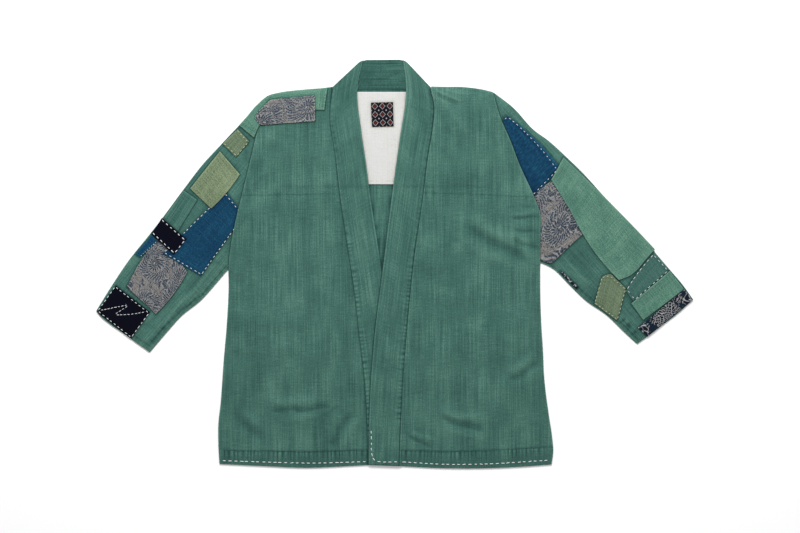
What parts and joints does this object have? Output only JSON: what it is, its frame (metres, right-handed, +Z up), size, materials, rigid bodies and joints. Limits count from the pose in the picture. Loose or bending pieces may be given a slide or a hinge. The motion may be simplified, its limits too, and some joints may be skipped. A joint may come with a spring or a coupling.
{
  "type": "noragi jacket",
  "caption": "Patched work jacket with a folded neck band, tapered sleeves and an off-white yoke lining, laid flat with its front up, open along the front.",
  "frame": {"origin": "middle of the outline of the flat jacket, on the surface it lies on", "axes": "+X to the right as seen from above, +Y from the hem up to the neck, +Z up out of the surface"},
  "size_m": [1.1038, 0.7534, 0.0086],
  "materials": {
    "green_cloth": "faded green slub cotton, plain weave with darker warp streaks, matt",
    "light_cloth": "pale green washed cotton, plain weave, matt",
    "dark_cloth": "dark green cotton, plain weave, matt",
    "blue_cloth": "indigo blue cotton, plain weave, matt",
    "navy_cloth": "near-black indigo cotton, plain weave, matt",
    "night_print": "dark blue cotton printed with light motifs, matt",
    "pale_cloth": "pale olive homespun cotton, matt",
    "olive_cloth": "olive cotton, plain weave, matt",
    "grey_print": "grey cotton printed with slate flowers and leaves, matt",
    "lining_cloth": "off-white plain cotton, matt",
    "label_cloth": null
  },
  "bodies": {
    "root": {"back": "green_cloth", "front_left": "green_cloth", "front_right": "green_cloth", "neck_band": "green_cloth", "sleeve_left": "green_cloth", "sleeve_right": "green_cloth", "yoke_lining": "lining_cloth", "neck_label": "label_cloth", "patch_left_strip": "green_cloth", "patch_left_print": "grey_print", "patch_left_sliver": "blue_cloth", "patch_left_blue": "blue_cloth", "patch_left_cuff": "navy_cloth", "patch_left_navy": "navy_cloth", "patch_left_pale": "pale_cloth", "patch_left_olive": "olive_cloth", "patch_right_print": "grey_print", "patch_right_blue": "blue_cloth", "patch_right_olive": "olive_cloth", "patch_right_light": "light_cloth", "patch_right_dark": "dark_cloth", "patch_right_stripe": "light_cloth", "patch_right_cuff": "night_print", "patch_shoulder_light": "light_cloth", "patch_shoulder_print": "grey_print"}
  },
  "joints": []
}
